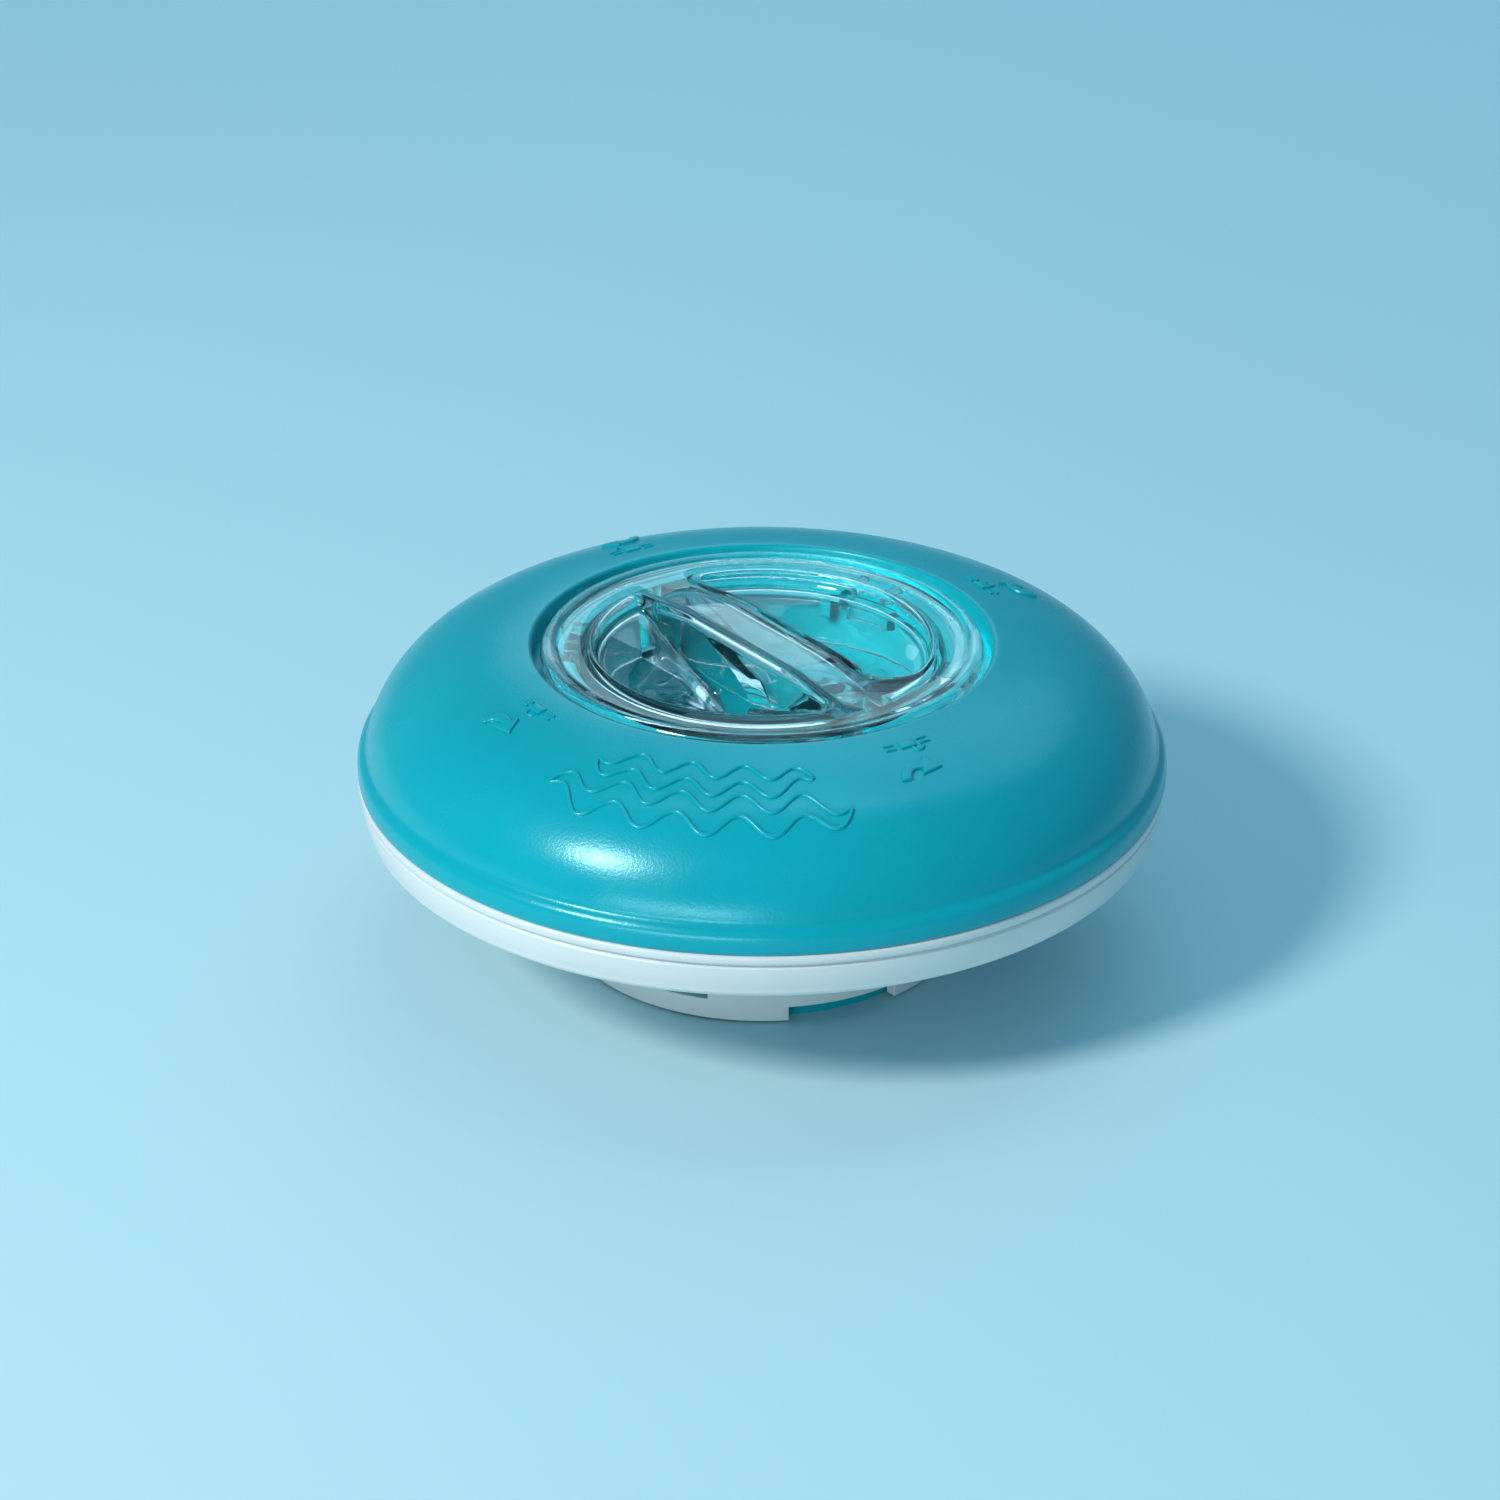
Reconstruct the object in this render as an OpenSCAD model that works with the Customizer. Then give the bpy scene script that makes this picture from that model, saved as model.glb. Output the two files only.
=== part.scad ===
// Floating chlorine dispenser: a round float of two shells around an open well. A tablet basket hangs under
// the well inside a vented ring that turns, and a clear bayonet lid closes the top.
// Origin: centre of the basket's foot. +Z up, front is -Y. Angles are in degrees from +X, seen from above.

/* [Float] */
// Outside diameter at the seam
float_d = 180; // [178:1:184]
// Height of the seam above the foot
seam_z = 42.5; // [42:0.5:44]
// Wall thickness of both shells
wall = 2.4; // [2:0.1:2.6]
// Height of the dome above its crease
dome_rise = 25; // [24:0.5:26]
// How flat the dome is in the middle
dome_flat = 5.5; // [5:0.1:6]
// How round the dome's shoulder is
dome_round = 1.62; // [1.5:0.01:1.75]
// Height of the lip between seam and crease
lip_h = 5; // [4.5:0.1:5.5]
// Radial step from the lip in to the crease
lip_step = 2; // [1.5:0.1:2.5]
// Height of the hull's side band below the seam
band_h = 8.8; // [8.2:0.2:9.2]

/* [Well] */
// Inside radius of the lid's pocket
pocket_r = 50.8; // [50.4:0.1:51.2]
// Inside radius of the neck
neck_r = 44; // [43.8:0.1:44.2]
// Wall thickness of the neck
neck_wall = 2.6; // [2.4:0.1:2.6]
// Height of the pocket's floor above the foot
pocket_z = 66; // [65.5:0.1:66]
// Inside radius of the bayonet ledge
ledge_r = 40.2; // [40.1:0.1:40.3]

/* [Lid] */
// Outside radius of the lid
lid_r = 49; // [48.6:0.1:49.2]
// Radius of the lid's round rim bead
bead_r = 2; // [1.8:0.1:2]
// Depth of the finger recesses below the flange
recess_depth = 15.8; // [14:0.1:16]
// Outside radius of the skirt below the flange
skirt_r = 39.6; // [39.4:0.1:39.7]
// Wall thickness of the skirt and the flange
lid_wall = 2.2; // [2:0.1:2.4]
// Width of the handle bar
bar_w = 14.5; // [13:0.5:15]
// Height of the handle bar above the flange
bar_rise = 2.2; // [2:0.1:2.4]
// Angle of the handle bar when the lid is open
bar_az = 127; // [120:1:130]
// Angle of the first of the three lugs when the lid is open
lug_az = 171; // [165:1:175]
// Angle that each lug covers
lug_span = 18; // [16:1:18]
// Height of a lug
lug_h = 3; // [2.6:0.1:3]

/* [Basket and ring] */
// Outside radius of the basket
basket_r = 41.5; // [41.4:0.1:41.6]
// Wall thickness of the basket
basket_wall = 2.2; // [2:0.1:2.2]
// Height of the basket's floor above the foot
basket_floor_z = 3.6; // [3.5:0.1:3.6]
// Radius of the basket's flange
flange_r = 55; // [54:0.5:56]
// Outside radius of the ring
ring_r = 45; // [44.8:0.1:45.2]
// Inside radius of the ring
ring_bore_r = 42.2; // [42.1:0.1:42.3]
// Angle that each vent covers
vent_span = 33; // [30:1:34]
// Angle of the first upper vent in the ring
upper_vent_az = -122; // [-124:1:-120]
// Angle of the first lower vent in the ring
lower_vent_az = -66; // [-68:1:-64]
// Turn of the ring from closed to open
ring_turn = 40; // [38:1:42]

/* [Screws] */
// Radius of the circle of screws
screw_circle_r = 50.5; // [50.3:0.1:50.7]
// Number of screws
screws = 6; // [4:1:6]
// Radius of a screw's shank
shank_r = 1.5; // [1.3:0.1:1.5]

/* [Hidden] */
$fn = 96;
eps = 0.05;
teal = "#01a6bc";
white = "#e6ecee";
clear = "#d8f0f0";
grey = "#4a4f52";
rubber = "#2b2f33";

float_r = float_d / 2;
crease_r = float_r - lip_step;
crease_z = seam_z + lip_h;
inner_r = float_r - 2 * wall + 0.4;
neck_out_r = neck_r + neck_wall;
land_z = 23;
flange_h = 2.2;
hull_base_z = land_z - flange_h;
seal_gap = 0.3;
seal_h = 1;
bead_z = pocket_z + 2 * seal_gap + seal_h + bead_r;
lid_flange_z = bead_z + 0.4 - lid_wall / 2;
lid_top_z = lid_flange_z + lid_wall;
skirt_z = lid_top_z - recess_depth - lid_wall;
lug_z = pocket_z - wall - 0.7 - lug_h;
ring_z = 0.5;
ring_top_z = hull_base_z - 0.5;
upper_vent_z = 5.3;
upper_vent_h = 6.7;
lower_vent_top_z = 3.8;
bead_groove_z = 15;
bead_groove_h = 2.6;
boss_r = 3.6;

// A point t (0 to 1) of the way down the dome's outline, from the pocket to the crease
function dome_radius(t) = pocket_r + (crease_r - pocket_r) * sin(90 * t);
function dome_height(r) = crease_z
    + dome_rise * pow(max(0, 1 - pow(r / crease_r, dome_flat)), 1 / dome_round);
function dome_point(t) = [dome_radius(t), dome_height(dome_radius(t))];

// The same point moved one wall thickness into the dome
function dome_inside(t) = let (
        a = dome_point(max(0, t - 0.01)),
        b = dome_point(min(1, t + 0.01)),
        along = (b - a) / norm(b - a)
    ) dome_point(t) + wall * [along[1], -along[0]];

// A ring between two radii and two heights
module ring(r_in, r_out, z0, z1) {
    rotate_extrude()
        translate([r_in, z0])
            square([r_out - r_in, z1 - z0]);
}

// Part of a ring, centred on an angle
module sector(r_in, r_out, z0, z1, az, span) {
    rotate([0, 0, az - span / 2])
        rotate_extrude(angle = span)
            translate([r_in, z0])
                square([r_out - r_in, z1 - z0]);
}

// Copies of the children in equal steps round the axis
module around(count, start = 0) {
    for (i = [0 : count - 1])
        rotate([0, 0, start + i * 360 / count])
            children();
}

// Three vents at one height, as cutters
module vents(r_in, r_out, z0, z1, az) {
    around(3, az)
        sector(r_in, r_out, z0, z1, 0, vent_span);
}

// Teal upper shell: dome, lip, lid pocket, bayonet ledge and neck
module top_shell() {
    steps = 16;
    floor_z = pocket_z - wall;
    tongue_r = inner_r - 0.3;
    outer = [for (i = [0 : steps]) dome_point(i / steps)];
    inner = [for (i = [steps : -1 : 3]) dome_inside(i / steps)];
    lip = [[float_r - 0.4, crease_z - 1.6], [float_r, crease_z - 3], [float_r, seam_z]];
    tongue = [[tongue_r, seam_z], [tongue_r, seam_z - 3], [tongue_r - 2, seam_z - 3],
              [tongue_r - 2, crease_z]];
    neck = [[pocket_r + wall, dome_height(pocket_r + wall) - wall], [pocket_r + wall, floor_z],
            [neck_out_r, floor_z], [neck_out_r, land_z + wall], [neck_r, land_z + wall],
            [neck_r, floor_z], [ledge_r, floor_z], [ledge_r, pocket_z], [pocket_r, pocket_z]];
    color(teal) {
        difference() {
            rotate_extrude()
                polygon(concat(outer, lip, tongue, inner, neck));
            // Entry notches in the bayonet ledge
            around(3, lug_az)
                sector(ledge_r - 1, neck_r + 0.2, floor_z - 1, pocket_z + 1, 0, lug_span + 5);
        }
        // Stop tab at the locked end of each lug's travel
        around(3, lug_az - 90 - lug_span / 2 - 3.5)
            sector(neck_r - 3, neck_r + 1, lug_z - 1, floor_z + 0.5, 0, 4);
    }
}

// White lower shell: lip, groove, side band, bowl, screw land and collar
module bottom_shell() {
    band_z = seam_z - band_h;
    bowl_r = float_r - 1.4;
    turn_r = 4.2;
    turn_h = 2.6;
    slope_r = flange_r + 7;
    turn = [for (a = [0 : 10 : 80])
        [bowl_r - turn_r * (1 - cos(a)), band_z - turn_h * sin(a)]];
    turn_inside = [for (a = [80 : -20 : 0])
        [bowl_r - wall - turn_r * (1 - cos(a)), band_z + wall - turn_h * sin(a)]];
    color(white) {
        difference() {
            union() {
                rotate_extrude()
                    polygon(concat(
                        [[float_r, seam_z], [float_r, seam_z - 2.2], [float_r - 1.2, seam_z - 2.5],
                         [float_r - 1.2, seam_z - 2.9], [float_r - 0.3, seam_z - 3.2]],
                        turn,
                        [[slope_r, hull_base_z], [flange_r + 0.3, hull_base_z],
                         [flange_r + 0.3, land_z], [basket_r + 0.5, land_z],
                         [basket_r + 0.5, land_z + wall], [flange_r + 2.7, land_z + wall],
                         [slope_r, hull_base_z + wall + 0.3]],
                        turn_inside,
                        [[inner_r, seam_z - 4], [inner_r, seam_z]]));
                // Collar round the foot of the neck, with a step for the neck seal
                ring(neck_out_r + 0.3, neck_out_r + 2.7, land_z + wall - eps, land_z + 8);
                ring(neck_out_r + 2, neck_out_r + 2.7, land_z + 8 - eps, land_z + 11);
                difference() {
                    around(screws, 30)
                        translate([screw_circle_r, 0, land_z + wall - eps])
                            cylinder(r = boss_r, h = 5.6);
                    ring(basket_r - 1, neck_out_r + 0.3, land_z, land_z + 20);
                }
            }
            // Groove for the rim seal
            ring(float_r - 3, float_r - 1.2, seam_z - 1.6, seam_z + 1);
            around(screws, 30)
                translate([screw_circle_r, 0, land_z - 1])
                    cylinder(r = shank_r + 0.05, h = 7);
        }
    }
}

// Rubber ring that seals the two shells at the seam
module rim_seal() {
    color(rubber)
        ring(float_r - 2.9, float_r - 1.3, seam_z - 1.5, seam_z);
}

// Rubber ring that seals the foot of the neck in its collar
module neck_seal() {
    color(rubber)
        ring(neck_out_r + 0.1, neck_out_r + 1.9, land_z + 8.1, land_z + 10.5);
}

// Teal basket: wall with vents, drained floor, foot and screw flange
module tablet_basket() {
    slot_w = 3.4;
    slot_pitch = 8;
    color(teal)
        difference() {
            union() {
                ring(basket_r - basket_wall, basket_r, 0, land_z + 4);
                // The foot is thicker than the wall above the floor
                ring(basket_r - basket_wall - 0.6, basket_r - 1, 0, basket_floor_z + 1);
                ring(basket_r - eps, flange_r, hull_base_z, land_z);
                translate([0, 0, basket_floor_z])
                    cylinder(r = basket_r - eps, h = 2);
            }
            // Drain slots, all inside the floor's edge
            intersection() {
                cylinder(r = basket_r - basket_wall - 4, h = 20);
                for (row = [-4 : 4])
                    translate([-50, row * slot_pitch - slot_w / 2, basket_floor_z - 1])
                        cube([100, slot_w, 4]);
            }
            // Groove that the ring's snap bead runs in
            ring(basket_r - 0.9, basket_r + 0.6, bead_groove_z, bead_groove_z + bead_groove_h);
            vents(basket_r - basket_wall - 1, basket_r + 0.6, upper_vent_z + 0.5,
                  upper_vent_z + upper_vent_h, upper_vent_az + ring_turn);
            vents(basket_r - basket_wall - 1, basket_r + 0.6, -1, lower_vent_top_z - 0.4,
                  lower_vent_az + ring_turn);
            around(screws, 30)
                translate([screw_circle_r, 0, hull_base_z - 1])
                    cylinder(r = shank_r + 0.1, h = flange_h + 2);
        }
}

// Self-tapping screws that hold the basket's flange up in the lower shell
module basket_screws() {
    color(grey)
        around(screws, 30)
            translate([screw_circle_r, 0, 0]) {
                translate([0, 0, hull_base_z])
                    cylinder(r = shank_r, h = 7);
                difference() {
                    translate([0, 0, hull_base_z - 1.8])
                        cylinder(r = 2.9, h = 1.8);
                    translate([-2, -0.4, hull_base_z - 2.8])
                        cube([4, 0.8, 2]);
                    translate([-0.4, -2, hull_base_z - 2.8])
                        cube([0.8, 4, 2]);
                }
            }
}

// White ring round the basket: turning it lines its vents up with the basket's
module flow_ring() {
    color(white)
        difference() {
            union() {
                ring(ring_bore_r, ring_r, ring_z, ring_top_z);
                ring(basket_r - 0.4, ring_bore_r + eps, bead_groove_z + 0.5,
                     bead_groove_z + bead_groove_h - 0.5);
            }
            vents(ring_bore_r - 2, ring_r + 2, upper_vent_z, upper_vent_z + upper_vent_h,
                  upper_vent_az);
            vents(ring_bore_r - 2, ring_r + 2, ring_z - 1, lower_vent_top_z, lower_vent_az);
        }
}

// Flat rubber ring between the lid's rim bead and the pocket's floor
module lid_seal() {
    color(rubber)
        ring(lid_r - 3.4, lid_r - 0.6, pocket_z + seal_gap, pocket_z + seal_gap + seal_h);
}

// What is left of the children on both sides of the handle bar, from a distance v out
module beside_bar(v) {
    intersection() {
        children();
        rotate([0, 0, bar_az])
            for (side = [-1, 1])
                translate([-60, side > 0 ? v : -60 - v, 0])
                    cube([120, 60, 100]);
    }
}

// Two D-shaped finger recesses, which scoop down from the flange to the foot of the bar, as cutters
module finger_recesses() {
    scoop = [[36.4, 2.8], [31, 4.6], [26, 6.6], [20, 9.2], [15, 11.8], [11.5, 14.6], [10.2, recess_depth]];
    beside_bar(bar_w / 2)
        rotate_extrude()
            polygon(concat(
                [[0, lid_top_z + 8], [skirt_r - lid_wall, lid_top_z + 8],
                 [skirt_r - lid_wall, lid_top_z - 1.8]],
                [for (p = scoop) [p[0], lid_top_z - p[1]]],
                [[0, lid_top_z - recess_depth]]));
}

// The space under each scoop, inside the skirt, as cutters
module scoop_undersides() {
    under = [[12.6, 16.9], [13.4, 15.8], [16.3, 13.7], [21, 11.25], [26.9, 8.7], [31.8, 6.65], [36.2, 5.1]];
    beside_bar(bar_w / 2 + 0.1)
        rotate_extrude()
            polygon(concat(
                [[12.4, skirt_z - 1]],
                [for (p = under) [p[0], lid_top_z - p[1]]],
                [[skirt_r - lid_wall, lid_top_z - 5.1], [skirt_r - lid_wall, skirt_z - 1]]));
}

// Clear lid: rim bead, flange, skirt with three lugs, and a hollow handle bar between two recesses
module lid() {
    bar_wall = 2.2;
    hollow_w = bar_w - 2 * bar_wall;
    hollow_end = skirt_r - 4 - hollow_w / 2;
    color(clear, 0.4) {
        rotate_extrude()
            translate([lid_r - bead_r, bead_z])
                circle(r = bead_r);
        ring(skirt_r - 1, lid_r - bead_r, lid_flange_z, lid_top_z);
        difference() {
            union() {
                translate([0, 0, skirt_z])
                    cylinder(r = skirt_r, h = lid_top_z - skirt_z);
                // Crown of the bar, above the flange
                intersection() {
                    cylinder(r = skirt_r - lid_wall, h = lid_top_z + bar_rise);
                    rotate([0, 0, bar_az])
                        translate([-60, -bar_w / 2, lid_top_z - 1])
                            cube([120, bar_w, 10]);
                }
            }
            finger_recesses();
            scoop_undersides();
            rotate([0, 0, bar_az])
                translate([0, 0, skirt_z - 1])
                    hull()
                        for (end = [-hollow_end, hollow_end])
                            translate([end, 0, 0])
                                cylinder(d = hollow_w, h = lid_top_z - skirt_z + 1, $fn = 32);
        }
        around(3, lug_az)
            sector(skirt_r - 1, neck_r - 0.6, lug_z, lug_z + lug_h, 0, lug_span);
    }
}

top_shell();
bottom_shell();
rim_seal();
neck_seal();
tablet_basket();
basket_screws();
flow_ring();
lid_seal();
lid();
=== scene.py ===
"""Floating chlorine dispenser: the looks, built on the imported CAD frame. Meshes are made in mm, and
mesh_object() turns them into metres."""

import math

import bmesh
import bpy
from mathutils import Matrix, Vector


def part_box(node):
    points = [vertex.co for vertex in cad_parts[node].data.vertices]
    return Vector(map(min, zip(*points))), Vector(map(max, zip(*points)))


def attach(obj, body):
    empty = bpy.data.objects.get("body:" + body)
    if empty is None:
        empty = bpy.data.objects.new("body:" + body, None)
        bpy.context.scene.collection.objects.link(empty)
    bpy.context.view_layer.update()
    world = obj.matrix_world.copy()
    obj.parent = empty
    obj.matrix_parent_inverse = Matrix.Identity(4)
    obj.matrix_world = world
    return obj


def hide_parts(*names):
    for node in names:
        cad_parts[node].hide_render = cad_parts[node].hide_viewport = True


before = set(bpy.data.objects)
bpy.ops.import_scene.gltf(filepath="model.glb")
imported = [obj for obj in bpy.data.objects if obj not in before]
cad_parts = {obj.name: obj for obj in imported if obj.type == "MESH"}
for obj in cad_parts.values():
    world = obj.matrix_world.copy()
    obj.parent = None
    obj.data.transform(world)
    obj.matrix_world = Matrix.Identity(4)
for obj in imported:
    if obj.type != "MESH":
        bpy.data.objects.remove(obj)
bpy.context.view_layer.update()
MM = 0.001


def box_mm(node):
    """Lowest and highest corner of a CAD node, in mm."""
    lo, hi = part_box(node)
    return lo / MM, hi / MM


# ---- Driving dimensions, from the frame where it holds them ----

# Float and neck
FLOAT_R = box_mm("top_shell")[1].x
SEAM_Z = box_mm("bottom_shell")[1].z
HULL_BASE_Z = box_mm("bottom_shell")[0].z
HULL_INSIDE_R = FLOAT_R - 4.4
LAND_TO_SEAL = 8.1
LAND_Z = box_mm("neck_seal")[0].z - LAND_TO_SEAL
LAND_TOP_Z = box_mm("top_shell")[0].z
WALL = LAND_TOP_Z - LAND_Z
SEAL_GAP = 0.3
POCKET_Z = box_mm("lid_seal")[0].z - SEAL_GAP
POCKET_R = 50.8
POCKET_FLOOR_Z = POCKET_Z - WALL
NECK_R = 44.0
NECK_OUT_R = 46.6
LEDGE_R = 40.2

# Lid
LID_R = box_mm("lid")[1].x
SKIRT_Z, BAR_TOP_Z = box_mm("lid")[0].z, box_mm("lid")[1].z
SKIRT_R = 39.6
RECESS_R = 37.4
BEAD_R = 2.0
BEAD_Z = POCKET_Z + 3.6
FLANGE_TOP_Z = BEAD_Z + 1.5
FLANGE_Z = FLANGE_TOP_Z - 2.2
BAR_W = 14.5
BAR_AZ = 127.0
BAR_CROWN = 0.35
LUG_AZ = 171.0
LUG_SPAN = 18.0
LUG_H = 3.0
LUG_Z = POCKET_Z - 6.1
LID_TURN = 90.0

# Basket and ring
BASKET_R = 41.5
BASKET_WALL = 2.2
BASKET_FLOOR_Z = 3.6
BASKET_FLOOR_TOP_Z = BASKET_FLOOR_Z + 2
FLANGE_R = box_mm("tablet_basket")[1].x
RING_R = box_mm("flow_ring")[1].x
RING_BORE_R = 42.2
RING_Z, RING_TOP_Z = box_mm("flow_ring")[0].z, box_mm("flow_ring")[1].z
RING_TURN = 40.0
VENT_SPAN = 33.0
UPPER_VENT_AZ = -122.0
LOWER_VENT_AZ = -66.0
SCREW_CIRCLE_R = 50.5
SCREWS = 6

TURN_STEPS = 240  # sides of the lid and the seals
FLOAT_STEPS = 360  # sides of the two shells


# ---- Mesh helpers ----


def arc(cx, cy, r, start, end, steps):
    """Points of a circular arc, with angles in degrees."""
    turn = [math.radians(start + (end - start) * i / steps) for i in range(steps + 1)]
    return [(cx + r * math.cos(a), cy + r * math.sin(a)) for a in turn]


def smoothstep(x):
    """Eases from 0 to 1 as x does."""
    x = min(max(x, 0.0), 1.0)
    return x * x * (3 - 2 * x)


def polar(r, az, z):
    """A point at radius r, azimuth az in degrees and height z."""
    a = math.radians(az)
    return Vector((r * math.cos(a), r * math.sin(a), z))


def join_rings(bm, rings, closed=False):
    """Quads between neighbouring closed rings of vertices, and from the last ring to the first if closed."""
    pairs = list(zip(rings, rings[1:]))
    if closed:
        pairs.append((rings[-1], rings[0]))
    for a, b in pairs:
        for i in range(len(a)):
            j = (i + 1) % len(a)
            bm.faces.new((a[i], a[j], b[j], b[i]))


def revolve(bm, profile, steps=TURN_STEPS):
    """A closed (r, z) outline turned round the axis."""
    rings = [
        [bm.verts.new(polar(r, 360 * i / steps, z)) for i in range(steps)]
        for r, z in profile
    ]
    join_rings(bm, rings, closed=True)


def ring_edges(bm, ring):
    """The edges along a closed ring of vertices, made where they are missing."""
    found = []
    for a, b in zip(ring, ring[1:] + ring[:1]):
        found.append(bm.edges.get((a, b)) or bm.edges.new((a, b)))
    return found


def fill(bm, *rings):
    """A flat face inside the first ring, with the others as holes."""
    edges = [e for ring in rings for e in ring_edges(bm, ring)]
    bmesh.ops.triangle_fill(bm, use_beauty=True, edges=edges, normal=(0, 0, 1))


def polar_cells(bm, radii, heights, spans, solid, step=1.5):
    """The skin of the solid cells of a polar grid. spans are azimuths in degrees that rise once round, and
    solid(r, z, az) says whether the cell with that middle is solid."""
    turns = []
    for a, b in zip(spans, spans[1:]):
        count = max(1, math.ceil((b - a) / step))
        turns += [a + (b - a) * i / count for i in range(count)]
    whole = abs(spans[-1] - spans[0] - 360) < 1e-6
    if not whole:
        turns.append(spans[-1])
    nr, nz, nt = len(radii) - 1, len(heights) - 1, len(turns) - (0 if whole else 1)
    verts = {}

    def vert(i, k, t):
        t = t % len(turns)
        if (i, k, t) not in verts:
            verts[i, k, t] = bm.verts.new(polar(radii[i], turns[t], heights[k]))
        return verts[i, k, t]

    def filled(i, k, t):
        if not (0 <= i < nr and 0 <= k < nz) or (not whole and not 0 <= t < nt):
            return False
        t = t % nt
        end = turns[t + 1] if t + 1 < len(turns) else turns[0] + 360
        middle = (turns[t] + end) / 2
        return solid((radii[i] + radii[i + 1]) / 2, (heights[k] + heights[k + 1]) / 2, middle)

    for i in range(nr):
        for k in range(nz):
            for t in range(nt):
                if not filled(i, k, t):
                    continue
                sides = {
                    (-1, 0, 0): ((i, k, t), (i, k, t + 1), (i, k + 1, t + 1), (i, k + 1, t)),
                    (1, 0, 0): ((i + 1, k, t), (i + 1, k + 1, t), (i + 1, k + 1, t + 1), (i + 1, k, t + 1)),
                    (0, -1, 0): ((i, k, t), (i + 1, k, t), (i + 1, k, t + 1), (i, k, t + 1)),
                    (0, 1, 0): ((i, k + 1, t), (i, k + 1, t + 1), (i + 1, k + 1, t + 1), (i + 1, k + 1, t)),
                    (0, 0, -1): ((i, k, t), (i, k + 1, t), (i + 1, k + 1, t), (i + 1, k, t)),
                    (0, 0, 1): ((i, k, t + 1), (i + 1, k, t + 1), (i + 1, k + 1, t + 1), (i, k + 1, t + 1)),
                }
                for (di, dk, dt), corners in sides.items():
                    if not filled(i + di, k + dk, t + dt):
                        bm.faces.new([vert(*c) for c in corners])


def plate(bm, outer, holes, z0, z1):
    """A flat plate between two heights, with an outline and holes given as lists of (x, y)."""
    tops, bottoms = [], []
    for loop in [outer, *holes]:
        top = [bm.verts.new((x, y, z1)) for x, y in loop]
        bottom = [bm.verts.new((x, y, z0)) for x, y in loop]
        join_rings(bm, [bottom, top])
        tops.append(top)
        bottoms.append(bottom)
    fill(bm, *tops)
    fill(bm, *bottoms)


def mesh_object(name, bm, material, body, replaces=(), bevel=0.0, sharp=32, segments=2):
    """Turns a bmesh in mm into a piece in metres that rides on a body."""
    bmesh.ops.remove_doubles(bm, verts=bm.verts, dist=1e-4)
    bmesh.ops.recalc_face_normals(bm, faces=bm.faces)
    bmesh.ops.scale(bm, vec=(MM, MM, MM), verts=bm.verts)
    mesh = bpy.data.meshes.new(name)
    bm.to_mesh(mesh)
    bm.free()
    mesh.shade_smooth()
    mesh.set_sharp_from_angle(angle=math.radians(sharp))
    mesh.materials.append(material)
    obj = bpy.data.objects.new(name, mesh)
    bpy.context.scene.collection.objects.link(obj)
    if bevel:
        m = obj.modifiers.new("edges", "BEVEL")
        m.width = bevel * MM
        m.segments = segments
        m.limit_method = "ANGLE"
        m.angle_limit = math.radians(40)
        m.harden_normals = True
    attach(obj, body)
    if replaces:
        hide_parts(*replaces)
    return obj


# ---- Materials ----


def new_material(name):
    """A node material's tree, its Principled shader and its object coordinates."""
    material = bpy.data.materials.new(name)
    material.use_nodes = True
    tree = material.node_tree
    shader = tree.nodes["Principled BSDF"]
    place = tree.nodes.new("ShaderNodeTexCoord").outputs["Object"]
    return material, tree, shader, place


def noise(tree, place, scale, detail=3.0, roughness=0.5):
    node = tree.nodes.new("ShaderNodeTexNoise")
    node.inputs["Scale"].default_value = scale
    node.inputs["Detail"].default_value = detail
    node.inputs["Roughness"].default_value = roughness
    tree.links.new(place, node.inputs["Vector"])
    return node.outputs["Fac"]


def between(tree, factor, low, high, start=0.35, end=0.65):
    """A number from low to high as factor goes from start to end."""
    node = tree.nodes.new("ShaderNodeMapRange")
    for socket, value in zip(node.inputs[1:5], (start, end, low, high)):
        socket.default_value = value
    tree.links.new(factor, node.inputs[0])
    return node.outputs[0]


def mixed(tree, factor, first, second):
    """A colour between two, where each is a colour or a socket."""
    node = tree.nodes.new("ShaderNodeMix")
    node.data_type = "RGBA"
    tree.links.new(factor, node.inputs["Factor"])
    for socket, value in ((node.inputs[6], first), (node.inputs[7], second)):
        if hasattr(value, "is_output"):
            tree.links.new(value, socket)
        else:
            socket.default_value = (*value, 1)
    return node.outputs[2]


def bumped(tree, shader, layers):
    """Stacks bump layers of (height socket, depth in mm) on a shader."""
    normal = None
    for height, depth in layers:
        node = tree.nodes.new("ShaderNodeBump")
        node.inputs["Strength"].default_value = 1.0
        node.inputs["Distance"].default_value = depth * MM
        tree.links.new(height, node.inputs["Height"])
        if normal is not None:
            tree.links.new(normal, node.inputs["Normal"])
        normal = node.outputs["Normal"]
    tree.links.new(normal, shader.inputs["Normal"])


def moulded_plastic(name, colour, pale, roughness, grain, sheen=(1, 1, 1)):
    """Injection-moulded plastic, with faint flow marks in its colour and a fine spark-eroded grain that is
    grain mm deep. sheen is the colour of its gloss."""
    material, tree, shader, place = new_material(name)
    flow = noise(tree, place, 22, detail=4)
    cloud = noise(tree, place, 140, detail=5)
    tint = mixed(tree, between(tree, flow, 0.0, 0.7), colour, pale)
    speckle = mixed(tree, between(tree, cloud, 0.0, 0.25, 0.5, 0.8), tint, pale)
    tree.links.new(speckle, shader.inputs["Base Color"])
    rough = between(tree, noise(tree, place, 60, detail=6), roughness - 0.03, roughness + 0.05)
    tree.links.new(rough, shader.inputs["Roughness"])
    shader.inputs["IOR"].default_value = 1.5
    shader.inputs["Specular Tint"].default_value = (*sheen, 1)
    bumped(tree, shader, [
        (noise(tree, place, 1500, detail=2, roughness=0.6), grain),
        (noise(tree, place, 35, detail=2), 0.05),
    ])
    return material


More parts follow.
